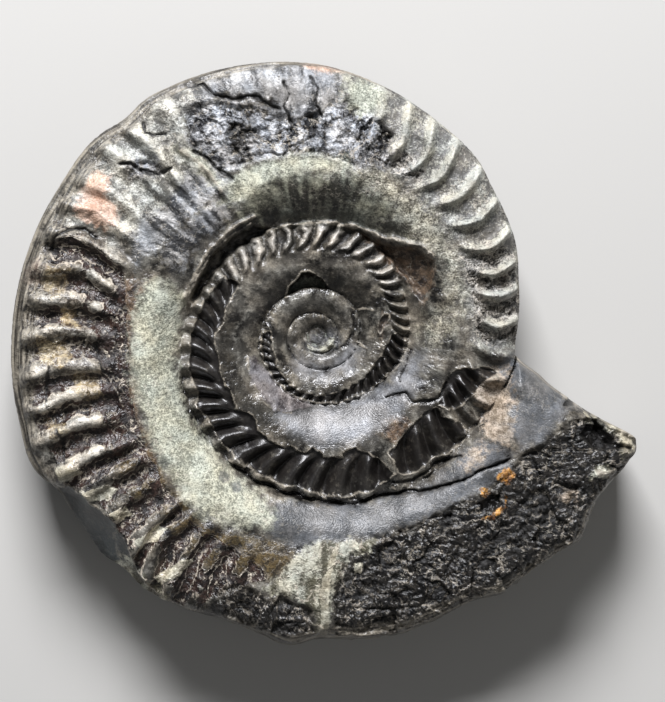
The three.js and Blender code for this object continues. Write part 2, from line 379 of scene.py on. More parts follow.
# Thin raised edges of broken shell: route, width and height.
SHELL_EDGES = (
    (((112, 23.9), (106, 23.9), (97, 23.6), (89, 23.5), (80, 23.6), (72, 23.9), (64, 23.9),
      (57, 24.2), (50, 25.8), (42, 28.3), (36, 28.6)), 0.45, 1.0),
    (((118, 28.2), (125, 28.5), (134, 28.3), (143, 28.6), (153, 28.6), (163, 29.0)), 0.6, 0.9),
    (((121, 27.4), (134, 27.5), (143, 27.8), (154, 27.8), (162, 28.2)), 0.3, 0.6),
    (((179, 47.0), (184, 48.5), (187, 45.5), (193, 43.0), (199, 42.4)), 0.25, 0.25),
    (((25, 12.2), (30, 11.4), (37, 9.7), (44, 9.3)), 0.2, 0.25),
    (((356, 13.8), (348, 12.9), (346, 10.3), (351, 8.3)), 0.2, 0.2),
    (CHIP + CHIP[:1], 0.22, 0.3),
    (((128, 10.6), (121, 12.0), (111, 13.0), (105, 13.8), (99, 13.8), (92, 13.0), (85, 12.3),
      (79, 11.2)), 0.28, 0.4),
    (((126.5, 47.5), (125, 43.5), (124, 39.5), (124.5, 36)), 0.6, 0.7),
    (((347, 52.6), (344.6, 58.4), (344.3, 63.4), (342.8, 69)), 1.1, 1.9),
    (((334, 63.6), (335.4, 66.6)), 0.9, 1.0),
    (((195, 15.0), (206, 16.3), (218, 16.8), (229, 17.5), (238, 17.7), (249, 16.7)), 0.22, 0.25),
    (((208.6, 61.8), (210.9, 59.6), (217, 57.1), (223, 56.8), (226.9, 58), (231.4, 60.4),
      (237, 62.2)), 0.3, 0.2),
)


def on_plan(point):
    angle, distance = point
    return distance * math.cos(math.radians(angle)), distance * math.sin(math.radians(angle))


def line_gap(spot, route, closed=False, reach=REACH):
    """Distance from each spot to a route, up to reach."""
    points = [on_plan(point) for point in route]
    gap = np.full_like(spot.x, reach)
    left, bottom = np.min(points, axis=0) - reach
    right, top = np.max(points, axis=0) + reach
    inside = (spot.x > left) & (spot.x < right) & (spot.y > bottom) & (spot.y < top)
    x = spot.wavy_x[inside]
    y = spot.wavy_y[inside]
    nearest = gap[inside]
    ends = points[1:] + points[:1] if closed else points[1:]
    for (x0, y0), (x1, y1) in zip(points, ends):
        along_x = x1 - x0
        along_y = y1 - y0
        length = along_x ** 2 + along_y ** 2
        share = np.clip(((x - x0) * along_x + (y - y0) * along_y) / length, 0, 1)
        nearest = np.minimum(nearest, np.hypot(x - x0 - share * along_x, y - y0 - share * along_y))
    gap[inside] = nearest
    return gap


def depth_inside(spot, outline):
    """Distance to an outline, positive inside it and negative outside."""
    points = [on_plan(point) for point in outline]
    inside = np.zeros(spot.x.shape, bool)
    for (x0, y0), (x1, y1) in zip(points, points[1:] + points[:1]):
        if y0 == y1:
            continue
        crosses = (spot.wavy_y < y0) != (spot.wavy_y < y1)
        inside ^= crosses & (spot.wavy_x < x0 + (spot.wavy_y - y0) * (x1 - x0) / (y1 - y0))
    gap = line_gap(spot, outline, closed=True)
    return np.where(inside, gap, -gap)


def add_wear(spot):
    """Random variation that the breaks and stains share, so that their edges are ragged."""
    spot.wavy_x = spot.x + 0.55 * mottle(spot.x, spot.y, 3.2, 24, 4)
    spot.wavy_y = spot.y + 0.55 * mottle(spot.x, spot.y, 3.2, 25, 4)
    spot.ragged = mottle(spot.x, spot.y, 2.6, 21, 4)
    spot.fine = mottle(spot.x, spot.y, 0.9, 22, 3)
    spot.broad = mottle(spot.x, spot.y, 14, 23, 3)
    spot.streak = mottle(np.radians(spot.coil) * 30, spot.radius / 9, 0.9, 26, 3)
    spot.window = np.full_like(spot.x, -REACH)
    for outline in RIB_WINDOWS:
        spot.window = np.maximum(spot.window, depth_inside(spot, outline))
    spot.window += 0.5 * spot.ragged + 0.35 * spot.fine
    spot.split = line_gap(spot, SEAM_SPLIT) + 0.3 * spot.ragged
    spot.split_width = 0.45 - 0.25 * ease(285, 315, spot.angle)
    lumps = near(spot.split - 1.4, 0.9) * ease(-0.1, 0.5, spot.ragged + 0.3 * spot.fine)
    spot.lumps = lumps * (spot.coil < OUTER_WHORL)
    return spot


def break_relief(spot):
    height = -SHELL * ease(-0.05, 0.2, spot.window)
    height += 0.3 * near(spot.window + 0.15, 0.22) * ease(-0.3, 0.3, spot.ragged + spot.fine)
    for outline, depth, wall, _ in HOLLOWS:
        inside = depth_inside(spot, outline) + 0.25 * spot.ragged
        height -= depth * ease(-0.15, wall, inside)
    for outline, step in PLATES:
        height += step * ease(-0.12, 0.12, depth_inside(spot, outline) + 0.3 * spot.ragged)
    for route, width, depth in CRACKS:
        gap = line_gap(spot, route) + 0.3 * spot.ragged
        height -= depth * near(gap, width)
    for route, width, rise in SHELL_EDGES:
        gap = line_gap(spot, route) + 0.4 * spot.ragged
        height += rise * (1 + 0.6 * spot.fine) * near(gap, width)
    return height - 1.5 * near(spot.split, spot.split_width) + 0.7 * spot.lumps


# ---------------------------------------------------------------------------------------------
# The stones. Minerals took the place of the shell and filled its chambers: dark polished calcite,
# purple-brown in the rib troughs and black near the mouth, slate-grey mudstone, sandy stone at
# the broken mouth, and a pale sage crust. Some of them have a relief of their own.
# ---------------------------------------------------------------------------------------------

# Outlines of each stone on the coil, as (angle, distance from the axis).
STONES = {
    "weathered": (
        ((-4, 31), (10, 31), (30, 33), (50, 35), (70, 37), (84, 39), (82, 47), (86, 57), (60, 53),
         (40, 50), (20, 46), (0, 43), (-5, 38)),
    ),
    "mossy": (
        ((6, 31.6), (20, 33), (45, 35), (60, 36), (75, 37), (86, 36), (95, 33), (84, 31), (74, 27),
         (62, 25.4), (50, 26), (42, 29), (30, 29), (20, 28.4), (8, 29)),
        ((-4, 22.6), (-2, 25), (4, 27.4), (12, 27), (12, 24), (4, 22)),
    ),
    "ash": (
        ((96, 59), (100, 52), (106, 52), (114, 55), (122, 53), (124, 46), (120, 40), (126, 36),
         (140, 37), (156, 40), (158, 52), (157, 63), (130, 62)),
    ),
    "bone": (
        ((148, 43), (160, 42), (175, 43), (190, 45), (203, 47), (209, 52), (208, 62), (190, 63),
         (165, 62), (148, 61)),
    ),
    "rubbed": (
        ((30, 16.8), (60, 18.4), (90, 19.4), (120, 20.4), (150, 21), (152, 25), (120, 24.5),
         (90, 23.4), (60, 23), (36, 21.5)),
    ),
    "polished": (
        ((22, 9.4), (60, 10), (95, 10.4), (140, 10.6), (146, 13), (125, 15.4), (95, 15.6),
         (60, 14.6), (30, 13.4)),
        ((30, 0.6), (28, 3.6), (60, 4.6), (100, 4.9), (140, 5.2), (150, 3.2), (140, 0.8)),
        ((60, 5.6), (100, 6.2), (138, 6.8), (138, 8.6), (100, 8.2), (64, 7.6)),
        ((172, 17.8), (200, 18.2), (225, 18.6), (250, 19.2), (270, 20.2), (284, 22.6), (268, 23.4),
         (240, 22.8), (215, 22), (190, 21.2), (172, 20.4)),
    ),
    "violet": (VIOLET_PLATE,),
    "rough": (
        ((-3, 33.5), (8, 32.6), (20, 32.4), (29, 34), (30, 38), (27, 42), (20, 44), (10, 43),
         (0, 41.8)),
        ((58, 38), (66, 37), (74, 38.4), (80, 41), (78, 46), (71, 44.4), (64, 41.8), (58, 40.4)),
    ),
    # This band is a painted sheen, pale grey where the inner whorls' flanks face the light.
    "silver": (
        ((240, 14.4), (252, 14.2), (275, 15), (300, 15.6), (325, 17), (348, 19), (352, 22),
         (335, 22.4), (318, 23), (300, 23), (285, 23), (268, 22.2), (254, 20.6), (242, 18.4)),
        ((215, 4.6), (240, 5), (270, 5.4), (300, 6), (330, 6.4), (350, 7.2), (340, 9.6),
         (315, 10), (285, 9.2), (255, 9), (230, 8.2)),
        ((180, 1), (200, 3.2), (230, 4), (270, 4.6), (310, 5), (345, 5), (10, 4.4), (20, 2.6),
         (340, 1), (250, 0.6)),
    ),
    "crust": (
        ((161, 29), (162, 37.6), (175, 38.4), (190, 39.2), (210, 40.5), (225, 41.8), (235, 43.4),
         (243, 42.2), (250, 41.2), (256, 39.8), (255, 37.0), (251, 35), (244, 34), (230, 32.6),
         (215, 31.8), (200, 30.9), (185, 30), (172, 29.2)),
        ((76, 47.5), (75, 51.5), (80, 53.6), (84, 52.6), (84, 48.2), (80, 46.6)),
        ((80, 35), (82, 36.8), (92, 37.4), (104, 37.6), (113, 37.4), (121, 36.4), (126, 34.4),
         (124, 32.4), (116, 33), (106, 34), (92, 34.4)),
        ((127.6, 48), (125.8, 43.5), (125.2, 37.5), (122.6, 36.4), (123, 43.5), (125.6, 48)),
    ),
    "slate": (
        ((255, 34.6), (255, 41.8), (262, 42.6), (275, 42.2), (290, 42.2), (303, 43.2), (315, 45.0),
         (325, 47.6), (328, 46.2), (330, 42), (327, 38.5), (320, 37.4), (310, 37.6), (302, 37.6),
         (296, 36.6), (285, 35.6), (265, 34.2)),
        ((353, 38.2), (354.6, 41.5), (351, 46), (346.6, 53), (345.7, 56.5), (343.2, 53.5),
         (341, 52.4), (334.6, 50.3), (331.4, 47.2), (333, 43.5), (341.5, 40.8), (348, 37.6)),
    ),
    "sand": (
        ((348.4, 35.4), (349.5, 39.3), (341.7, 41.4), (331.2, 45.0), (328.5, 43.4), (328.8, 39.3),
         (335.3, 37.2), (338, 34.8), (342.2, 33.7)),
        ((318, 40.4), (322, 41.8), (325, 41.2), (324, 38.8), (320, 38.2)),
        ((325.6, 60.6), (327.2, 62.4), (328.8, 61.4), (327.4, 59.8)),
    ),
    "black": (
        ((277, 44.2), (283, 42.6), (295, 42.8), (305, 43.4), (316, 45.2), (323, 47.8), (330, 48.2),
         (335, 51.2), (341, 53.2), (343, 57), (343.6, 62), (341.5, 66), (338, 71), (333, 70),
         (327, 70), (323, 71), (317, 69), (306, 67), (295, 65), (285, 63), (278, 61.6), (273, 61.4),
         (272.6, 55), (275.4, 48.4)),
        ((248, 55.6), (251, 53.0), (257, 53.2), (263, 54.2), (268, 56.0), (268.6, 60.6),
         (262, 61.6), (254, 60.8), (248.6, 59.6)),
        ((116, 41.6), (115.4, 46), (112, 47.4), (108, 46), (106, 43), (108.6, 40.8), (112.6, 40.4)),
    ),
    "purple": (
        ((156, 58.6), (157.4, 50), (160, 43.4), (166, 40.6), (180, 39.4), (195, 40.2), (208, 41.5),
         (222, 44.0), (236, 46.0), (250, 47.0), (258, 50), (252, 53.6), (247, 57), (246, 62),
         (238, 62), (231, 60.5), (224, 57), (216, 56), (209, 59.8), (195, 60.6), (175, 60.4),
         (163, 59.8)),
    ),
    "damage": (
        ((118.5, 54), (113.6, 52.4), (109.4, 50.4), (105.5, 49), (100.6, 45.4), (95, 45.6),
         (89, 46.4), (85, 50.6), (82, 48), (76, 46.2), (70, 44), (67, 38), (74, 35.6),
         (90, 37.4), (105, 38.2), (116, 38.2), (121, 39), (124, 43.4), (124.6, 48), (122.5, 51.5)),
        ((139, 53.2), (139.6, 50.5), (136.6, 47.4), (133.4, 46.2), (132.6, 49), (135.4, 52)),
    ),
    "folded": (
        ((100.6, 45.8), (100.8, 49.6), (105, 50.8), (111, 52.4), (117, 54.2), (118, 58),
         (100, 57.4), (88, 55.6), (84.6, 51), (87, 47), (92, 45.2), (96, 44.8)),
        ((120, 36.4), (141, 36), (158, 40), (156, 43), (146, 44), (140, 41.4), (128, 43.4),
         (121.6, 41)),
        ((155, 32.6), (120, 32), (122, 35.8), (150, 37.4)),
    ),
    "wall": (
        ((50, 25.4), (60, 24.6), (90, 24.4), (118, 24.8), (127, 28), (128, 31), (119, 33),
         (106, 34.4), (92, 34.4), (78, 34), (62, 31), (50, 28.6)),
    ),
    "pink": (
        ((143, 56.2), (142.6, 53.6), (146.2, 52.2), (147.4, 48.6), (150.3, 47.8), (152.9, 50.6),
         (153.7, 54.4), (151.8, 56.4), (147.3, 57.0)),
        ((163.5, 59.6), (166, 61), (169.5, 61), (169, 58.6), (165.5, 57.4)),
        ((94, 55.6), (91, 54.6), (86, 54.6), (82, 55.6), (84, 56.6), (92, 57)),
    ),
    "olive": (
        ((178, 39.6), (181, 44.4), (185, 46), (191, 45.6), (197, 44.0), (202, 42), (196, 40.2),
         (186, 39.4)),
        ((224, 43), (227, 47.6), (233, 50.6), (241, 51.8), (249, 51.4), (258, 50.4), (263, 47.4),
         (262, 43.2), (254, 42.4), (244, 44), (236, 45), (229, 43.4)),
        ((161, 53.6), (163.4, 57.2), (168, 57.8), (169, 53.4), (165, 50.4)),
        ((203, 41.6), (206, 46), (212, 49.4), (220, 50), (225, 48), (224, 43), (212, 41.8)),
    ),
    "pale": (
        ((257, 52.6), (259.8, 48.7), (264.5, 44.2), (270.3, 41.3), (277.3, 42.0), (284.6, 42.6),
         (283.6, 44.5), (278, 45.3), (275, 48.1), (273, 52.1), (271.4, 58.6), (269.8, 61.6),
         (268.4, 56.4), (264.6, 53.7)),
        ((344.2, 57.4), (344.8, 63.2), (343.6, 68.5), (342, 71.5), (338.6, 71), (338.6, 67.4),
         (341.6, 65.4), (342.2, 61.4), (342.6, 57.8)),
        ((332.6, 62.4), (334, 66), (336, 66.2), (335.4, 62.8)),
        ((236, 2.2), (250, 3.4), (285, 4.0), (325, 4.2), (345, 3.6), (325, 2.8), (275, 2.2)),
        ((228, 64.5), (228.5, 59.5), (234, 60.6), (240, 61), (241, 66)),
    ),
    "cream": (
        ((212.4, 58.0), (214.2, 52.8), (216.6, 51.6), (217.0, 54.2), (215.2, 57.6)),
        ((227.4, 56.4), (228.6, 50.6), (230.8, 49.8), (230.6, 52.6), (229, 56.4)),
        ((219.4, 56.2), (221, 52.8), (222.8, 52.6), (222.2, 55.4)),
        ((235.0, 59.6), (237.8, 53), (240.2, 52), (239.4, 55.6), (237.0, 59.6)),
        ((205.5, 60.6), (207.6, 55.8), (209.6, 55.4), (208.6, 60.2)),
        ((278, 49.2), (278.6, 46.8), (280.6, 47), (280, 49)),
        # This outline lies on the beak's ridge, where the cream is partly a painted highlight.
        ((345.4, 56.6), (344.8, 62), (343.4, 68.4), (341.6, 71.4), (339.6, 71), (339.8, 67.4),
         (342, 65.6), (343.2, 61.4), (343.6, 57)),
        ((269.6, 61.5), (270.2, 52), (271.6, 46), (274, 42.5), (276, 42.8), (273, 47),
         (271.8, 53), (271.2, 61.5)),
    ),
    "honey": (
        ((179, 58), (180.6, 52), (184.6, 50.6), (187, 53), (185, 57.4)),
        ((164.4, 57.6), (165.4, 53), (169.6, 52.6), (171.6, 55), (169, 58)),
        ((172.6, 53), (174, 50), (177.4, 49.4), (177, 52.6)),
        ((188.4, 50.6), (190, 46.6), (195, 45.6), (195.6, 48.6), (192, 51)),
        ((196.6, 58.6), (198.4, 54.6), (200.6, 54), (200, 58)),
    ),
    "spots": (
        ((233.2, 34.6), (234.2, 35.6), (236.6, 35.5), (237, 34.2), (235.4, 33.5), (233.6, 33.8)),
        ((239.4, 35.0), (240.4, 35.9), (242.6, 35.6), (242.8, 34.4), (241, 33.9), (239.8, 34.1)),
    ),
    "rust": (
        ((321, 46.0), (321.6, 48.6), (324.4, 48.9), (325.2, 47.0), (323.4, 45.6)),
        ((315.4, 45.6), (316.4, 47.2), (318.6, 46.6), (317.4, 45.2)),
        ((311.6, 49.6), (313.4, 51.6), (317.5, 51.8), (319.6, 50.2), (317.6, 51.0), (314, 50.6)),
    ),
    "brown": (
        ((302, 23.4), (306, 26.3), (314, 26.2), (318, 24.6), (312, 22.6)),
        CHIP,
        ((74, 23.4), (57, 23.6), (42, 27.6), (34, 28.0), (27, 26.6), (17, 22.6), (35, 21.6),
         (58, 21.8)),
        ((160, 36.5), (164, 42.4), (180, 40.6), (200, 41.6), (215, 43.4), (224, 44.4), (216, 41.2),
         (200, 39.6), (180, 38.4)),
    ),
    "mudstone": (
        ((206.5, 75), (208.5, 62), (210.9, 59.6), (217, 57.1), (223, 56.8), (226.9, 58.0),
         (231.4, 60.4), (236, 62.2), (240, 63.2), (241, 75), (224, 78)),
    ),
}


def find_stones(spot):
    """How far inside each stone's outline each spot is, in millimetres, with a ragged edge."""
    stones = SimpleNamespace()
    for name, outlines in STONES.items():
        depth = np.full_like(spot.x, -REACH)
        for outline in outlines:
            depth = np.maximum(depth, depth_inside(spot, outline))
        setattr(stones, name, depth + 0.5 * spot.ragged)
    stones.crest = rib_crest(spot) * ease(0.05, 0.3, spot.on_ribs)
    splinter = crystals(spot.wavy_x, spot.wavy_y, 2.1, 38)[0]
    jagged = 0.7 * (splinter - 0.3) + 0.8 * np.abs(mottle(spot.x, spot.y, 1.7, 38, 3))
    flaked = 1.9 * (0.53 - stones.crest) + 0.9 * mottle(spot.x, spot.y, 3, 39, 2)
    flaked += 0.6 * spot.broad + jagged
    in_ribs = ease(-1, 1, stones.purple)
    level = 2.6 * mottle(spot.x, spot.y, 7, 33, 3) + 0.9 * jagged
    stones.flaking = level + (flaked / 1.3 + 0.5 - level) * in_ribs
    stones.broken = in_ribs
    for depth, amount in ((stones.black, 0.35), (stones.damage, 0.45), (stones.pale, 0.6)):
        stones.broken = np.maximum(stones.broken, amount * ease(-1, 1, depth))
    stones.purple = np.minimum(stones.purple, flaked)
    stones.rough = np.minimum(stones.rough, 1.6 * (0.5 - stones.crest) + 1.2 * jagged)
    stones.bone = np.minimum(stones.bone, 1.6 * (stones.crest - 0.42) + 1.2 * spot.ragged)
    return stones


def stone_relief(spot, stones):
    black = ease(-0.4, 0.6, stones.black)
    damage = ease(-0.3, 0.9, stones.damage)
    purple = ease(-0.1, 0.3, stones.purple)
    rough = ease(-0.1, 0.5, stones.rough)
    folded = ease(-0.3, 0.6, stones.folded)
    silver = ease(-1, 1, stones.silver)
    block, block_gap = crystals(spot.wavy_x, spot.wavy_y, 5.2, 31)[1:]
    chip = crystals(spot.wavy_x, spot.wavy_y, 1.6, 32)[1]
    layer = np.floor(stones.flaking)
    step = layer + ease(0.38, 0.62, stones.flaking - layer)
    plates = step - stones.flaking
    splinters = flakes(spot.x, spot.y, 2.4, 34)
    creases = np.abs(mottle(spot.x, spot.y, 5, 35, 3)) ** 0.7
    dents = mottle(spot.x, spot.y, 4.5, 40, 2)
    folds = mottle(np.radians(spot.coil) * 40, spot.radius / 5, 1.3, 37, 4)
    crag = 1.4 * block + 0.5 * chip - 0.3 * ease(0.08, 0, block_gap)
    rubble = 0.7 * block + 0.5 * chip + 0.4 * splinters
    # Painted light and shade: darker in the hollows of the relief and lighter where it stands
    # proud, lighter on the inner whorls' rib crests and darker in their troughs, and darker down
    # the umbilical wall towards the seam.
    stones.hollow = black * (crag + 0.5 * splinters) + damage * (rubble + 0.5 * splinters)
    stones.hollow += 0.5 * (purple + rough) * splinters
    stones.hollow += 0.7 * (1 - black) * (1 - damage) * (creases - 0.45)
    stones.hollow += (1 - spot.is_outer) * (stones.crest - 0.45) * ease(0.05, 0.3, spot.on_ribs)
    stones.hollow -= 1.0 * ease(0.55, 0, spot.up_slope) * spot.is_outer * ease(-2, 1, stones.wall)
    height = black * (crag - 0.5 + 0.5 * plates + 0.4 * splinters)
    height += damage * (0.85 * rubble - 0.5 + 0.4 * plates + 0.4 * folds)
    layers_gone = np.clip(step, 0, 3)
    height -= 0.3 * layers_gone * ease(-0.6, 0, stones.purple) - 0.35 * purple * splinters
    height += folded * 0.7 * folds + rough * (0.7 * splinters + 0.6 * chip - 0.5)
    height += 0.16 * near(stones.purple, 0.25) * ease(0.1, 0.5, spot.on_ribs)
    height += 0.35 * ease(-0.2, 1.2, stones.pale) + 0.35 * ease(-0.2, 0.3, stones.cream)
    smooth = np.maximum.reduce([
        black, damage, purple, 0.95 * silver, 0.9 * ease(0, 1, stones.crust),
        0.85 * ease(0, 1, stones.slate), 0.85 * ease(0, 0.4, spot.window),
        0.95 * ease(0, 0.5, stones.mudstone),
    ])
    bumps = 0.15 * plates + 0.12 * splinters + 0.35 * creases + 0.08 * spot.streak
    height += (1 - smooth) * bumps
    height += (1 - black) * (1 - 0.6 * folded) * (1 - 0.8 * silver) * 0.4 * dents
    height += 0.05 * spot.fine * (1 - black) + 0.15 * spot.broad
    return height


# Route of the mouth's fracture, and how far from it and how much the last whorl rounds off.
MOUTH = ((354.5, 41.2), (350.3, 46.7), (346.2, 53.5), (343.8, 60), (341.2, 70.6))
MOUTH_WIDTH = 8.0
MOUTH_FALL = 4.2
NEAR_MOUTH = 1010

# The mudstone split along a plane that slopes down to the outer edge.
FACET_ANGLE = 221
FACET_TOP = 56.0
FACET_SLOPE = 1.25

# The highest parts are worn down: above the first level they rise by less than the second.
WORN_FROM = 11.4
WORN_OVER = 1.25


def front_height(spot, stones):
    height = whorl_height(spot) + rib_relief(spot) + break_relief(spot)
    height += stone_relief(spot, stones)
    fall = np.clip(1 - line_gap(spot, MOUTH, reach=MOUTH_WIDTH) / MOUTH_WIDTH, 0, 1) ** 2.2
    height -= MOUTH_FALL * fall * (spot.coil > NEAR_MOUTH)
    out = spot.radius * np.cos(np.radians(spot.angle - FACET_ANGLE)) - FACET_TOP
    facet = 0.95 * half_thickness(spot.coil) - FACET_SLOPE * out + 0.15 * spot.broad
    split_off = ease(-0.1, 0.5, stones.mudstone) * (height > facet)
    height += (facet - height) * split_off
    proud = np.maximum(height - WORN_FROM, 0)
    return height - proud + WORN_OVER * (1 - np.exp(-proud / WORN_OVER))


# ---------------------------------------------------------------------------------------------
# The outer edge. On the left and at the top the last whorl carries a keel, a low blade along the
# middle of its edge with a furrow on each side. Past 209 degrees the keel has flaked off and
# the edge is broken stone.
# ---------------------------------------------------------------------------------------------
KEEL_WIDTH = (
    (-5.5, 0.3), (0, 0.8), (60, 0.9), (95, 1.1), (112, 1.9), (150, 2.0), (195, 1.8), (206, 1.5),
    (210, 0.9), (240, 1.0), (265, 1.3), (310, 1.5), (336, 1.2), (342, 0.5), (346, 0.2),
    (354.5, 0.2),
)
KEEL_HALF_THICKNESS = 2.3
KEEL_BREAKS_OFF = (207, 211)
FURROW_LEVEL = 3.2
EDGE_RADIUS = 60
EDGE_ROWS = 40

keel_width = smooth_curve(KEEL_WIDTH)


def edge_points(angle, front_edge, back_edge):
    """Rows of points down the outer edge, from the front shoulder to the back one."""
    radius = rim_radius(angle)
    width = keel_width(angle)
    directions = np.radians(angle)
    along = directions * EDGE_RADIUS
    keeled = 1 - ease(*KEEL_BREAKS_OFF, angle)
    rows = []
    for step in np.arange(1, EDGE_ROWS) / EDGE_ROWS:
        level = front_edge + (-back_edge - front_edge) * step
        from_middle = np.abs(level)
        blade = 1 - ease(KEEL_HALF_THICKNESS - 0.6, KEEL_HALF_THICKNESS + 0.5, from_middle)
        furrow = 0.25 * near(from_middle - FURROW_LEVEL, 0.6)
        bulge = np.clip(1 - (from_middle / np.maximum(front_edge, back_edge)) ** 2, 0, 1) ** 0.7
        grain = mottle(along, level + 40, 2.2, 41, 4)
        layers = mottle(along, level + 40, 0.7, 42, 2)
        out = keeled * (blade * width - furrow * width + 0.12 * layers * blade)
        out += (1 - keeled) * (bulge * width * (1 + 0.5 * grain) + 0.15 * layers * bulge)
        reach = np.minimum(radius - width + out, radius)
        rows.append((reach * np.cos(directions), reach * np.sin(directions), level))
    return rows


# ---------------------------------------------------------------------------------------------
# The far side, which the fossil lies on. It is the same coil, more worn, and a lump of mudstone
# fills its middle. The lump's underside is worn flat.
# ---------------------------------------------------------------------------------------------
COIL_LEVEL = 14.5
FLOOR_GAP = 0.03
LUMP = (
    (29, -4), (24, 12), (10, 21), (-9, 22), (-25, 13), (-31, -4), (-25, -21), (-8, -30), (13, -28),
    (26, -18),
)


def lump_depth(spot):
    outline = [(math.degrees(math.atan2(y, x)), math.hypot(x, y)) for x, y in LUMP]
    return depth_inside(spot, outline) + 0.6 * spot.ragged


def back_height(spot):
    flank = whorl_height(spot) + 0.7 * rib_relief(spot) + 0.25 * spot.ragged + 0.06 * spot.fine
    flank = np.minimum(flank, COIL_LEVEL - 1.2)
    depth = lump_depth(spot)
    worn = 1.6 * (1 - ease(0, 3.5, depth)) + 3.2 * np.clip(-depth, 0, REACH)
    pits = 0.5 * ease(0.35, 0.8, spot.ragged) * ease(0, 1, depth) + 0.05 * (1 + spot.fine)
    lump = COIL_LEVEL - FLOOR_GAP - worn - pits * (depth < REACH)
    return np.maximum(flank, lump)


# ---------------------------------------------------------------------------------------------
# The fossil's surface: a lattice of rings over each side, a strip of rows round the edge, and
# fewer triangles where the stone is smooth.
# ---------------------------------------------------------------------------------------------
RINGS = 280
SECTORS = 8
BACK_RINGS = 80
MOST_TRIANGLES = 190000
EDGE_SAMPLES = 7201
BOX_SAMPLES = 3601
MM = 0.001


def ring_lattice(rings, sectors):
    """Share of the way out and share of a turn for each point, and the triangles between."""
    ring = [np.zeros(1)]
    turn = [np.zeros(1)]
    triangles = []
    first = 0
    for count in range(1, rings + 1):
        size = sectors * count
        ring.append(np.full(size, count / rings))
        turn.append(np.arange(size) / size)
        outer_first = first + max(1, sectors * (count - 1))
        inner_size = max(1, sectors * (count - 1))
        for sector in range(sectors):
            step = np.arange(count)
            outer = outer_first + (sector * count + step) % size
            outer_next = outer_first + (sector * count + step + 1) % size
            inner = first + (sector * (count - 1) + step) % inner_size
            triangles.append(np.stack([inner, outer, outer_next], 1))
            inner_next = first + (sector * (count - 1) + step[1:]) % inner_size
            triangles.append(np.stack([inner[:-1], outer_next[:-1], inner_next], 1))
        first = outer_first
    return np.concatenate(ring), np.concatenate(turn), np.concatenate(triangles)


def side_positions(share, turn):
    """Places on the plan of the lattice's points, spread evenly along the outer edge."""
    angle = np.linspace(0, TURN, EDGE_SAMPLES) + MOUTH_ANGLE
    radius = rim_radius(angle)
    x = radius * np.cos(np.radians(angle))
    y = radius * np.sin(np.radians(angle))
    walked = np.concatenate([[0], np.cumsum(np.hypot(np.diff(x), np.diff(y)))])
    even = MOUTH_ANGLE + turn * TURN
    along_edge = np.interp(turn * walked[-1], walked, angle)
    place = even + (along_edge - even) * share
    reach = share * (rim_radius(place) - keel_width(place))
    return reach * np.cos(np.radians(place)), reach * np.sin(np.radians(place)), place


def fossil_points():
    edge = SECTORS * RINGS
    share, turn, front_faces = ring_lattice(RINGS, SECTORS)
    x, y, place = side_positions(share, turn)
    spot = add_wear(find_spot(x, y))
    front_side = np.stack([x, y, front_height(spot, find_stones(spot))], 1)
    share, turn, back_faces = ring_lattice(BACK_RINGS, edge // BACK_RINGS)
    x, y, _ = side_positions(share, turn)
    back_side = np.stack([x, y, -back_height(add_wear(find_spot(x, y)))], 1)
    rows = edge_points(place[-edge:], front_side[-edge:, 2], -back_side[-edge:, 2])
    points = [front_side] + [np.stack(row, 1) for row in rows] + [back_side]
    here = np.arange(edge)
    beside = (here + 1) % edge
    back_first = len(front_side) + edge * len(rows)
    starts = [len(front_side) - edge]
    starts += [len(front_side) + edge * row for row in range(len(rows))]
    starts.append(back_first + len(back_side) - edge)
    faces = [front_faces, back_faces[:, ::-1] + back_first]
    for above, below in zip(starts, starts[1:]):
        faces.append(np.stack([above + here, below + here, below + beside], 1))
        faces.append(np.stack([above + here, below + beside, above + beside], 1))
    return np.concatenate(points), np.concatenate(faces)


def mesh_from(name, points, faces):
    mesh = bpy.data.meshes.new(name)
    mesh.vertices.add(len(points))
    mesh.vertices.foreach_set("co", points.astype(np.float32).ravel())
    mesh.loops.add(3 * len(faces))
    mesh.loops.foreach_set("vertex_index", faces.astype(np.int32).ravel())
    mesh.polygons.add(len(faces))
    mesh.polygons.foreach_set("loop_start", np.arange(0, 3 * len(faces), 3, dtype=np.int32))
    mesh.update(calc_edges=True)
    mesh.validate()
    return mesh


def read_points(mesh):
    points = np.empty(3 * len(mesh.vertices), np.float32)
    mesh.vertices.foreach_get("co", points)
    return points.reshape(-1, 3).astype(float)


rim_angles = np.linspace(MOUTH_ANGLE, MOUTH_ANGLE + TURN, BOX_SAMPLES)
rim_x = rim_radius(rim_angles) * np.cos(np.radians(rim_angles))
rim_y = rim_radius(rim_angles) * np.sin(np.radians(rim_angles))
box_low, box_high = cad_box
JUST_INSIDE = 0.9998
SHRINK = JUST_INSIDE * min(
    (box_high[0] - box_low[0]) / MM / np.ptp(rim_x),
    (box_high[1] - box_low[1]) / MM / np.ptp(rim_y),
)
AXIS = Vector((
    (box_low[0] + box_high[0]) / 2 - MM * SHRINK * (rim_x.min() + rim_x.max()) / 2,
    (box_low[1] + box_high[1]) / 2 - MM * SHRINK * (rim_y.min() + rim_y.max()) / 2,
    box_low[2] + MM * COIL_LEVEL,
))

points, faces = fossil_points()
fossil = bpy.data.objects.new("ammonite_fossil", mesh_from("fine_stone", points, faces))
bpy.context.scene.collection.objects.link(fossil)
thin_out = fossil.modifiers.new("thin_out", "DECIMATE")
thin_out.ratio = MOST_TRIANGLES / len(faces)
bpy.context.view_layer.update()
evaluated = fossil.evaluated_get(bpy.context.evaluated_depsgraph_get())
stone_mesh = bpy.data.meshes.new_from_object(evaluated)
fossil.modifiers.clear()
fossil.data = stone_mesh
stone_mesh.name = "ammonite_fossil"

# Each point remembers which stones it is made of, for the finish below.
places = read_points(stone_mesh)
on_front = ease(-0.5, 0.5, places[:, 2])
spot = add_wear(find_spot(places[:, 0], places[:, 1]))
stones = find_stones(spot)


def remember(name, values):
    attribute = stone_mesh.attributes.new(name, "FLOAT", "POINT")
    attribute.data.foreach_set("value", values.astype(np.float32))
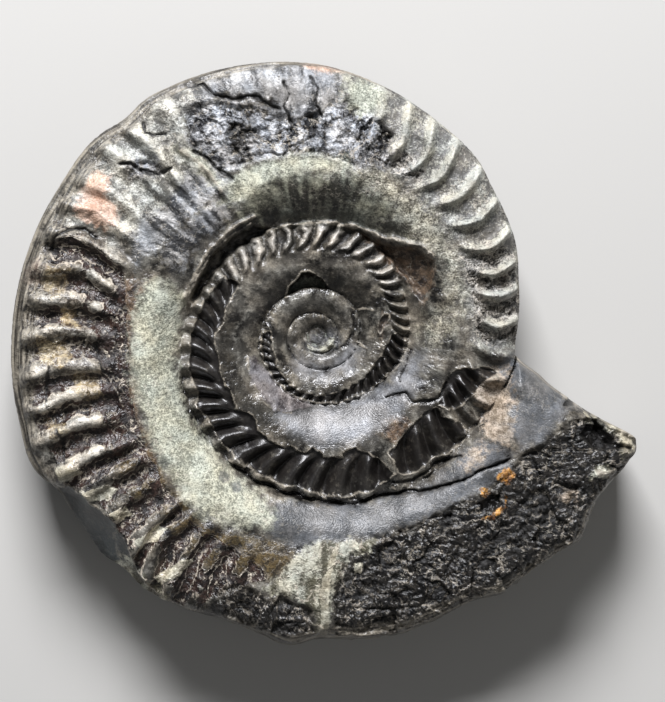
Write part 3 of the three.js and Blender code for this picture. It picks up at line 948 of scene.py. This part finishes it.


# Working out the relief also gives each point its painted shading, painted shade in its hollows and
# painted light where it stands proud. How steeply the flakes lie is told from the same places moved
# by a tenth of a millimetre.
stone_relief(spot, stones)
SHIFT = 0.1
slopes = []
for shift_x, shift_y in ((SHIFT, 0), (0, SHIFT)):
    shifted = add_wear(find_spot(places[:, 0] + shift_x, places[:, 1] + shift_y))
    slopes.append((find_stones(shifted).flaking - stones.flaking) / SHIFT)

for name in STONES:
    remember(name, np.where(on_front > 0.5, getattr(stones, name), -REACH))
remember("lump", np.where(on_front > 0.5, -REACH, lump_depth(spot)))
remember("window", np.where(on_front > 0.5, spot.window, -REACH))
remember("crest", stones.crest ** 2)
remember("streak", spot.streak)
remember("flaking", stones.flaking)
remember("flake_slope", np.hypot(*slopes))
remember("broken", stones.broken * on_front)
remember("hollow", stones.hollow * on_front)

# Clefts are darkened: the seam's split, the inner whorls' seam lines, the cracks and the hollows
# with dark clay and painted shade.
clefts_clay_and_shade = near(spot.split, spot.split_width)
clefts_clay_and_shade = np.maximum(clefts_clay_and_shade, 0.7 * near(spot.radius - spot.inner, 0.4) * (1 - spot.is_outer))
for route, width, _ in CRACKS:
    clefts_clay_and_shade = np.maximum(clefts_clay_and_shade, near(line_gap(spot, route) + 0.3 * spot.ragged, width + 0.1))
for outline, _, _, clay in HOLLOWS:
    clefts_clay_and_shade = np.maximum(clefts_clay_and_shade, clay * ease(0, 0.6, depth_inside(spot, outline)))
keeled = (1 - ease(*KEEL_BREAKS_OFF, spot.angle)) * (spot.to_rim < keel_width(spot.angle) + 0.5)
# Painted shade along the keel's furrows.
furrow = near(np.abs(places[:, 2]) - FURROW_LEVEL, 0.8) * keeled
remember("clay_and_shade_in_clefts", np.maximum(clefts_clay_and_shade * on_front, furrow))
edges = np.maximum(0.9 * near(spot.window + 0.12, 0.2), spot.lumps)
for route, width, _ in SHELL_EDGES:
    edges = np.maximum(edges, near(line_gap(spot, route) + 0.4 * spot.ragged, width))
remember("shell_edge", edges * on_front)

# Along the outer edge the layers of the shell and keel lie open, this far in from the edge.
OPEN_LAYERS = (
    (-5, -0.6), (60, -0.3), (110, 1.8), (205, 2.2), (212, 0.5), (255, 0.7), (262, 2), (345, 1.6),
)
remember("rim", smooth_curve(OPEN_LAYERS)(spot.angle) + 0.7 * spot.ragged - spot.to_rim)
remember("around", np.radians(spot.angle) * EDGE_RADIUS)
remember("to_rim", spot.to_rim)

stone_mesh.transform(
    Matrix.Translation(AXIS) @ Matrix.Diagonal((MM * SHRINK, MM * SHRINK, MM, 1))
)
stone_mesh.polygons.foreach_set("use_smooth", np.ones(len(stone_mesh.polygons), bool))
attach(fossil, "root")
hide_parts("ammonite")


# ---------------------------------------------------------------------------------------------
# The stone's finish. Calcite, mudstone and clay, all polished by cleaning and handling: dark
# glossy shell, matt crusts, sparkling crystal faces, and cream broken edges.
# ---------------------------------------------------------------------------------------------
CALCITE_IOR = 1.55


def linear(colour):
    """A material's colour from its sRGB hex value."""
    parts = [int(colour[place:place + 2], 16) / 255 for place in (1, 3, 5)]
    return [
        part / 12.92 if part <= 0.04045 else ((part + 0.055) / 1.055) ** 2.4 for part in parts
    ] + [1]


def add_node(kind, inputs, output=0, **settings):
    """Adds a node with its settings, links or fills its inputs, and gives one of its outputs."""
    node = tree.nodes.new("ShaderNode" + kind)
    for name, value in settings.items():
        setattr(node, name, value)
    for socket, value in inputs.items():
        if isinstance(value, bpy.types.NodeSocket):
            tree.links.new(value, node.inputs[socket])
        else:
            node.inputs[socket].default_value = value
    return node.outputs[output]


# Finish of each stone over the dark shell, in the order they lie on each other: dark colour, light
# colour and roughness; size of its blotches, how far its edge is frayed and over how much it fades
# out, in millimetres; how much it covers, how much paler rib crests are, partly as worn shell and
# partly as a painted highlight, how streaky it is, how speckled, how wrinkled, how grainy and how
# cracked.
FINISHES = (
    ("mossy", "#504D42", "#B4B2A2", 0.48, 3, 3.0, 4.0, 0.85, 0.0, 0.15, 1.2, 0.5, 0.8, 0.2),
    ("weathered", "#62615E", "#B2B2A8", 0.40, 3, 3.0, 3.0, 0.9, 0.45, 0.1, 1.2, 0.35, 0.7, 0.4),
    ("ash", "#5E5D58", "#D0D0C7", 0.34, 3, 2.5, 2.5, 0.9, 0.2, 0.2, 0.7, 0.6, 0.6, 0.7),
    ("bone", "#453E36", "#CBC5B8", 0.30, 3, 1.8, 1.6, 0.9, 0.1, 0.3, 0.5, 0.4, 0.3, 0.7),
    ("rubbed", "#211E1B", "#A09C95", 0.27, 3, 1.6, 2.0, 0.75, 0.6, 0.1, 0.6, 0.5, 0.5, 0.4),
    ("polished", "#0E0D0B", "#3B3832", 0.25, 6, 1.6, 1.6, 0.85, 0, 0.05, 0.2, 0.3, 0.1, 0.4),
    # The next finish is a painted sheen, pale grey where the inner flanks face the light.
    ("silver", "#3C3C3D", "#88898C", 0.38, 6, 1.5, 2.5, 0.95, 0, 0.1, 0.25, 0.06, 0.05, 0.9),
    ("violet", "#3B3638", "#8B8788", 0.27, 3, 0.8, 0.5, 0.9, 0, 0.1, 0.3, 0.3, 0.1, 0.6),
    ("wall", "#1B1B15", "#7D7F72", 0.34, 6, 2.0, 3.0, 0.9, 0, 0.35, 0.4, 0.3, 0.25, 0.3),
    ("brown", "#2A211B", "#75614E", 0.38, 2, 1.6, 1.2, 0.9, 0, 0, 0.4, 0.6, 0.6, 0.5),
    ("olive", "#21190E", "#615233", 0.34, 2, 2.0, 2.0, 0.85, 0.05, 0, 0.8, 0.5, 0.4, 0.4),
    ("rough", "#33302D", "#B6B1A9", 0.42, 2, 1.6, 1.0, 0.8, 0, 0, 1.4, 0.9, 0.9, 0.5),
    ("purple", "#0D0807", "#3B2D28", 0.30, 2, 0.5, 0.15, 1.0, 0, 0, 0.5, 0.9, 0.5, 0.4),
    ("damage", "#14151A", "#B2B4B8", 0.36, 3, 2.6, 2.2, 1.0, 0, 0.3, 0.5, 0.7, 0.8, 0.6),
    ("folded", "#2C2E32", "#97989A", 0.34, 3, 2.4, 2.0, 0.9, 0, 0.6, 0.5, 0.6, 0.4, 1.0),
    ("black", "#030304", "#211F1D", 0.32, 2, 3.0, 3.2, 1.0, 0, 0, 0.5, 0.5, 0.5, 0.2),
    ("mudstone", "#14181A", "#3C4446", 0.38, 6, 0.2, 0.2, 1.0, 0, 0, 0.2, 0.1, 0.1, 0.3),
    ("slate", "#3A3C3E", "#68696B", 0.40, 6, 1.2, 1.6, 1.0, 0, 0.05, 0.35, 0.1, 0.2, 0.8),
    ("crust", "#7F8173", "#BFC0AE", 0.7, 6, 2.2, 2.4, 1.0, 0, 0, 1.5, 0.05, 0.5, 0.0),
    ("spots", "#4E514C", "#72746E", 0.6, 2, 0.3, 0.4, 0.9, 0, 0, 0.3, 0.1, 0.3, 0.0),
    ("pale", "#504E3F", "#BEBDAD", 0.5, 3, 1.8, 1.0, 0.95, 0, 0.8, 0.8, 0.4, 0.6, 0.3),
    ("cream", "#8F8A78", "#CFCBB9", 0.45, 2, 0.6, 0.25, 0.95, 0, 0.2, 0.4, 0.3, 0.4, 0.2),
    ("honey", "#4A3B25", "#B5A583", 0.34, 2, 1.4, 0.8, 0.75, 0, 0, 0.6, 0.5, 0.4, 0.5),
    ("sand", "#7C6E5C", "#B4A697", 0.7, 2, 2.8, 1.8, 0.85, 0, 0, 0.8, 0.4, 0.7, 0.5),
    ("pink", "#AF8C77", "#DCBFAC", 0.5, 3, 1.6, 1.4, 0.9, 0, 0, 0.5, 0.4, 0.4, 0.9),
    ("rust", "#5E3A18", "#BF8836", 0.55, 2, 0.9, 0.5, 1.0, 0, 0, 0.4, 0.4, 1.0, 0.2),
    ("lump", "#5A5D57", "#8B8E85", 0.85, 3, 0.8, 0.4, 1.0, 0, 0, 0.5, 0.4, 1.0, 0.0),
)

RELIEF_COLUMNS = 3
BARE_SHELL_RELIEF = (0.45, 0.12, 0.9)

# How wrinkled, grainy and cracked each point is, from the stones that lie on the shell there.
relief_amounts = np.tile(BARE_SHELL_RELIEF, (len(places), 1))
for name, *_, fade, cover, _, _, _, wrinkled, grainy, cracked in FINISHES:
    depth = lump_depth(spot) if name == "lump" else getattr(stones, name)
    shown = on_front if name != "lump" else 1 - on_front
    share = ease(-fade / 2, fade / 2, depth) * cover * shown
    relief_amounts += (np.array([wrinkled, grainy, cracked]) - relief_amounts) * share[:, None]
for name, values in zip(("wrinkled", "grainy", "cracked"), relief_amounts.T):
    remember(name, values)

finish = bpy.data.materials.new("calcite_and_mudstone")
finish.use_nodes = True
tree = finish.node_tree
tree.nodes.clear()
metres = add_node("TexCoord", {}, "Object")
place = add_node("VectorMath", {0: metres, "Scale": 1 / MM}, operation="SCALE")

# Clouds, wrinkles, grain, dust, frayed edges and drifts of hue: size in millimetres, detail and
# roughness. Real dust is finer, and is drawn a third of a millimetre wide so that it shows.
PATTERNS = (
    (8, 2, 0.5), (2.4, 3, 0.55), (0.8, 3, 0.6), (0.32, 1, 0.5), (1.8, 4, 0.7), (5, 2, 0.5),
)
clouds, wrinkles, grain, dust, frayed, drift = [
    add_node("TexNoise", {"Vector": place, "Scale": 1 / size, "Detail": detail, "Roughness": rough})
    for size, detail, rough in PATTERNS
]
fine = add_node("Mix", {0: 0.5, 2: grain, 3: dust})
specks = add_node("MapRange", {"Value": fine, "From Min": 0.38, "From Max": 0.62})
frayed_edge = add_node(
    "MapRange", {"Value": frayed, "From Min": 0.2, "From Max": 0.8, "To Min": -1, "To Max": 1},
)
crest = add_node("Attribute", {}, "Fac", attribute_name="crest")
streak = add_node("Attribute", {}, "Fac", attribute_name="streak")

# The dark shell itself, with a thin grey film where it is rubbed.
share = add_node("MapRange", {"Value": clouds, "From Min": 0.4, "From Max": 0.62})
colour = add_node(
    "Mix", {0: share, 6: linear("#141210"), 7: linear("#5A564F")}, 2, data_type="RGBA",
)
film = add_node("Math", {0: specks, 1: 0.12, 2: wrinkles}, operation="MULTIPLY_ADD")
share = add_node("MapRange", {"Value": film, "From Min": 0.5, "From Max": 0.78, "To Max": 0.6})
colour = add_node("Mix", {0: share, 6: colour, 7: linear("#8C887E")}, 2, data_type="RGBA")
gloss = add_node(
    "MapRange",
    {"Value": wrinkles, "From Min": 0.3, "From Max": 0.7, "To Min": 0.2, "To Max": 0.36},
)

# Blotches two, three and six millimetres across, which the stones share.
patches = {
    size: add_node(
        "TexNoise", {"Vector": place, "Scale": 1 / size, "Detail": 3, "Roughness": 0.55},
    )
    for size in (2, 3, 6)
}


def lay_stone(under, name, dark, light, roughness, blotch, fray, fade, cover, crest_wear_and_highlight, streaky,
              speckled):
    """Lays one stone over what is under it, where the mesh remembers it."""
    depth = add_node("Attribute", {}, "Fac", attribute_name=name)
    depth = add_node("Math", {0: frayed_edge, 1: fray, 2: depth}, operation="MULTIPLY_ADD")
    share = add_node(
        "MapRange", {"Value": depth, "From Min": -fade / 2, "From Max": fade / 2, "To Max": cover},
    )
    blotches = patches[blotch]
    # Rib crests are painted paler, partly as worn shell and partly as a painted highlight.
    for pattern, weight in ((crest, crest_wear_and_highlight), (streak, streaky), (specks, 0.3 * speckled)):
        if weight:
            blotches = add_node(
                "Math", {0: pattern, 1: weight, 2: blotches}, operation="MULTIPLY_ADD",
            )
    middle = 0.5 + 0.4 * crest_wear_and_highlight + 0.15 * speckled
    spread = 0.13 + 0.03 * speckled
    lightness = add_node(
        "MapRange", {"Value": blotches, "From Min": middle - spread, "From Max": middle + spread},
    )
    tone = add_node("Mix", {0: lightness, 6: linear(dark), 7: linear(light)}, 2, data_type="RGBA")
    colour = add_node("Mix", {0: share, 6: under[0], 7: tone}, 2, data_type="RGBA")
    return colour, add_node("Mix", {0: share, 2: under[1], 3: roughness})


for stone in FINISHES:
    colour, gloss = lay_stone((colour, gloss), *stone[:-RELIEF_COLUMNS])

# Iron and clay drift the hue a little, warm in one place and cool in the next.
COOL = (0.97, 1.0, 1.03, 1)
WARM = (1.05, 1.0, 0.93, 1)
share = add_node("MapRange", {"Value": drift, "From Min": 0.35, "From Max": 0.65})
tint = add_node("Mix", {0: share, 6: COOL, 7: WARM}, 2, data_type="RGBA")
colour = add_node("Mix", {0: 1.0, 6: colour, 7: tint}, 2, data_type="RGBA", blend_type="MULTIPLY")

# Painted shade darkens the hollows and painted light brightens what stands proud, down to the
# wrinkles; fine grain adds random tone.
hollow = add_node("Attribute", {}, "Fac", attribute_name="hollow")
wrinkled = add_node("Attribute", {}, "Fac", attribute_name="wrinkled")
folds = add_node("Math", {0: wrinkles, 1: 0.5}, operation="SUBTRACT")
folds = add_node("Math", {0: folds, 1: wrinkled}, operation="MULTIPLY")
hollow = add_node("Math", {0: folds, 1: 4.0, 2: hollow}, operation="MULTIPLY_ADD")
pores = add_node("Math", {0: fine, 1: 0.5}, operation="SUBTRACT")
hollow = add_node("Math", {0: pores, 1: 1.6, 2: hollow}, operation="MULTIPLY_ADD")
shade = add_node(
    "MapRange",
    {"Value": hollow, "From Min": -0.9, "From Max": 0.9, "To Min": 0.35, "To Max": 1.65},
)
colour = add_node("Mix", {0: 1.0, 6: colour, 7: shade}, 2, data_type="RGBA", blend_type="MULTIPLY")

# The clay left in the hollows of grainy stone is matt.
grainy = add_node("Attribute", {}, "Fac", attribute_name="grainy")
clay = add_node("MapRange", {"Value": hollow, "From Min": 0.1, "From Max": -0.6, "To Max": 1.6})
clay = add_node("Math", {0: clay, 1: grainy}, operation="MULTIPLY", use_clamp=True)
gloss = add_node("Mix", {0: clay, 2: gloss, 3: 0.8})

# Fresh ribs under the flaked shell are black and glossy, with no grain and a few scabs of shell.
fresh = add_node("Attribute", {}, "Fac", attribute_name="window")
fresh = add_node("MapRange", {"Value": fresh, "From Min": 0.0, "From Max": 0.3, "To Max": 0.93})
scabs = add_node(
    "MapRange", {"Value": frayed, "From Min": 0.54, "From Max": 0.66, "To Min": 1, "To Max": 0.6},
)
fresh = add_node("Math", {0: fresh, 1: scabs}, operation="MULTIPLY")
colour = add_node("Mix", {0: fresh, 6: colour, 7: linear("#120F0E")}, 2, data_type="RGBA")
gloss = add_node("Mix", {0: fresh, 2: gloss, 3: 0.38})

# Flakes: the shell splits in layers, and the broken edge of each layer shows cream.
flaking = add_node("Attribute", {}, "Fac", attribute_name="flaking")
slope = add_node("Attribute", {}, "Fac", attribute_name="flake_slope")
broken = add_node("Attribute", {}, "Fac", attribute_name="broken")
flaking = add_node("Math", {0: grain, 1: 0.5, 2: flaking}, operation="MULTIPLY_ADD")
in_layer = add_node("Math", {0: flaking, 1: 0.25}, operation="SUBTRACT")
in_layer = add_node("Math", {0: in_layer}, operation="FRACT")
step = add_node("MapRange", {"Value": in_layer, "From Min": 0.42, "From Max": 0.58})
gap = add_node("Math", {0: in_layer, 1: 0.5}, operation="SUBTRACT")
slope = add_node("Math", {0: slope, 1: 0.5}, operation="MAXIMUM")
gap = add_node("Math", {0: gap, 1: slope}, operation="DIVIDE")
gap = add_node("Math", {0: gap}, operation="ABSOLUTE")
width = add_node("MapRange", {"Value": frayed, "From Min": 0.42, "From Max": 0.68, "To Max": 0.25})
gap = add_node("Math", {0: gap, 1: width}, operation="SUBTRACT")
edge = add_node("MapRange", {"Value": gap, "From Min": 0.06, "From Max": -0.06})
patchy = add_node(
    "MapRange", {"Value": clouds, "From Min": 0.4, "From Max": 0.6, "To Min": 0.3, "To Max": 1.0},
)
share = add_node("Math", {0: edge, 1: broken}, operation="MULTIPLY")
share = add_node("Math", {0: share, 1: patchy}, operation="MULTIPLY")
colour = add_node("Mix", {0: share, 6: colour, 7: linear("#C4B9A8")}, 2, data_type="RGBA")

# Between them the grains' own broken edges show as short curled lines a fifth of a millimetre
# wide, which gather in places and keep off the fresh ribs.
gap = add_node("Math", {0: patches[2], 1: 0.5}, operation="SUBTRACT")
gap = add_node("Math", {0: gap}, operation="ABSOLUTE")
curl = add_node("MapRange", {"Value": gap, "From Min": 0.03, "From Max": 0.008})
share = add_node("MapRange", {"Value": frayed, "From Min": 0.46, "From Max": 0.58})
old_grain = add_node("Math", {0: grainy, 1: fresh}, operation="SUBTRACT", use_clamp=True)
share = add_node("Math", {0: share, 1: old_grain}, operation="MULTIPLY")
share = add_node("Math", {0: share, 1: patchy}, operation="MULTIPLY")
curl = add_node("Math", {0: curl, 1: share}, operation="MULTIPLY")
colour = add_node("Mix", {0: curl, 6: colour, 7: linear("#C4BCAD")}, 2, data_type="RGBA")

# Hair cracks, in cells two to three millimetres across, open only in places.
swirl = add_node("TexNoise", {"Vector": place, "Scale": 1 / 2.5, "Detail": 2}, "Color")
bent = add_node("VectorMath", {0: swirl, 1: (1.4, 1.4, 1.4), 2: place}, operation="MULTIPLY_ADD")
cells = add_node("TexVoronoi", {"Vector": bent, "Scale": 1 / 3.2}, feature="DISTANCE_TO_EDGE")
open_here = add_node(
    "MapRange", {"Value": frayed, "From Min": 0.58, "From Max": 0.75, "To Max": 0.06},
)
cells = add_node("Math", {0: cells, 1: open_here}, operation="SUBTRACT")
crack = add_node("MapRange", {"Value": cells, "From Min": 0.0, "From Max": -0.03})
cracked = add_node("Attribute", {}, "Fac", attribute_name="cracked")
share = add_node("Math", {0: cracked, 1: fresh}, operation="SUBTRACT")
crack = add_node("Math", {0: crack, 1: share}, operation="MULTIPLY", use_clamp=True)
colour = add_node("Mix", {0: crack, 6: colour, 7: linear("#17130F")}, 2, data_type="RGBA")

# The layers open along the outer edge are dark and cream by turns, and drawn out along it.
around = add_node("Attribute", {}, "Fac", attribute_name="around")
to_rim = add_node("Attribute", {}, "Fac", attribute_name="to_rim")
rim = add_node("Attribute", {}, "Fac", attribute_name="rim")
up = add_node("SeparateXYZ", {0: place}, "Z")
along = add_node("CombineXYZ", {"X": around, "Y": to_rim, "Z": up})
along = add_node("VectorMath", {0: along, 1: (0.12, 1.8, 1.2)}, operation="MULTIPLY")
bedding = add_node("TexNoise", {"Vector": along, "Scale": 1, "Detail": 3})
share = add_node("MapRange", {"Value": bedding, "From Min": 0.4, "From Max": 0.64})
layers = add_node(
    "Mix", {0: share, 6: linear("#2E2A25"), 7: linear("#938C7E")}, 2, data_type="RGBA",
)
share = add_node("MapRange", {"Value": rim, "From Min": -0.4, "From Max": 0.6, "To Max": 0.85})
colour = add_node("Mix", {0: share, 6: colour, 7: layers}, 2, data_type="RGBA")

# Broken edges of shell are cream, and clefts are darkened with clay and painted shade.
FILMS = (
    ("shell_edge", 0.45, 1.0, 0.75, "#A0988A"),
    ("clay_and_shade_in_clefts", 0.25, 0.8, 0.93, "#0B0908"),
)
for name, start, full, most, tint in FILMS:
    amount = add_node("Attribute", {}, "Fac", attribute_name=name)
    amount = add_node("Math", {0: frayed_edge, 1: 0.75, 2: amount}, operation="MULTIPLY_ADD")
    share = add_node(
        "MapRange", {"Value": amount, "From Min": start, "From Max": full, "To Max": most},
    )
    colour = add_node("Mix", {0: share, 6: colour, 7: linear(tint)}, 2, data_type="RGBA")

# Relief finer than the mesh holds, in millimetres: dust, wrinkles, grain, the flakes' steps and
# the curled lines. It is weaker on the fresh ribs.
relief = add_node("Math", {0: dust, 1: 0.1}, operation="MULTIPLY")
for pattern, amount, height in (
    (wrinkles, wrinkled, 0.7), (grain, grainy, 0.6), (step, broken, 0.22), (curl, 1, 0.08),
):
    pattern = add_node("Math", {0: pattern, 1: amount}, operation="MULTIPLY")
    relief = add_node("Math", {0: pattern, 1: height, 2: relief}, operation="MULTIPLY_ADD")
strength = add_node("MapRange", {"Value": fresh, "To Min": 0.9, "To Max": 0.3})
bumpy = add_node("Bump", {"Height": relief, "Distance": MM, "Strength": strength})
surface = add_node(
    "BsdfPrincipled",
    {"Base Color": colour, "Roughness": gloss, "IOR": CALCITE_IOR, "Normal": bumpy},
)
tree.links.new(surface, tree.nodes.new("ShaderNodeOutputMaterial").inputs["Surface"])
stone_mesh.materials.clear()
stone_mesh.materials.append(finish)

# ---------------------------------------------------------------------------------------------
# The studio: a pale matt floor, a large soft light low beyond the fossil's top edge, as a window
# gives, a weak one on the near side, and a camera above.
# ---------------------------------------------------------------------------------------------
FLOOR_HALF = 2

floor_mesh = bpy.data.meshes.new("floor")
corners = [(FLOOR_HALF * x, FLOOR_HALF * y, 0) for x, y in ((-1, -1), (1, -1), (1, 1), (-1, 1))]
floor_mesh.from_pydata(corners, [], [(0, 1, 2, 3)])
floor = bpy.data.objects.new("floor", floor_mesh)
bpy.context.scene.collection.objects.link(floor)
paint = bpy.data.materials.new("matt_paint")
paint.use_nodes = True
paint.node_tree.nodes["Principled BSDF"].inputs["Base Color"].default_value = linear("#B9B8B4")
paint.node_tree.nodes["Principled BSDF"].inputs["Roughness"].default_value = 0.8
floor_mesh.materials.append(paint)


def add_light(name, place, aim, size, power, colour):
    lamp = bpy.data.lights.new(name, "AREA")
    lamp.shape = "RECTANGLE"
    lamp.size, lamp.size_y = size
    lamp.energy = power
    lamp.color = linear(colour)[:3]
    holder = bpy.data.objects.new(name, lamp)
    holder.location = place
    holder.rotation_euler = (Vector(aim) - Vector(place)).to_track_quat("-Z", "Y").to_euler()
    bpy.context.scene.collection.objects.link(holder)


add_light("window_light", (-0.12, 0.76, 0.62), (0, 0, 0.01), (0.42, 0.3), 22, "#FBFBFF")
add_light("fill_light", (0.5, -0.5, 0.7), (0, 0, 0.01), (0.8, 0.8), 0.8, "#FFF8F0")

world = bpy.data.worlds.new("studio")
world.use_nodes = True
world.node_tree.nodes["Background"].inputs["Color"].default_value = linear("#E0E4EA")
world.node_tree.nodes["Background"].inputs["Strength"].default_value = 0.14
bpy.context.scene.world = world
bpy.context.scene.view_settings.view_transform = "Standard"

# The camera looks down on the fossil from just left of and above its middle. The view's width is
# in millimetres, at the fossil.
CAMERA_DISTANCE = 0.48
VIEW_WIDTH = 136.7905
LEAN_LEFT = 4.5
LEAN_UP = 3.0
aim = AXIS + Vector((2.8, -2.9, 6)) * MM
lean = Vector((-math.tan(math.radians(LEAN_LEFT)), math.tan(math.radians(LEAN_UP)), 1)).normalized()
camera_data = bpy.data.cameras.new("camera")
camera_data.sensor_fit = "HORIZONTAL"
camera_data.sensor_width = 36
camera_data.lens = camera_data.sensor_width * CAMERA_DISTANCE / (VIEW_WIDTH * MM)
camera = bpy.data.objects.new("camera", camera_data)
right = Vector((0, 1, 0)).cross(lean).normalized()
turned = Matrix((right, lean.cross(right), lean)).transposed().to_4x4()
camera.matrix_world = Matrix.Translation(aim + lean * CAMERA_DISTANCE) @ turned
bpy.context.scene.collection.objects.link(camera)
bpy.context.scene.camera = camera

bpy.context.view_layer.update()
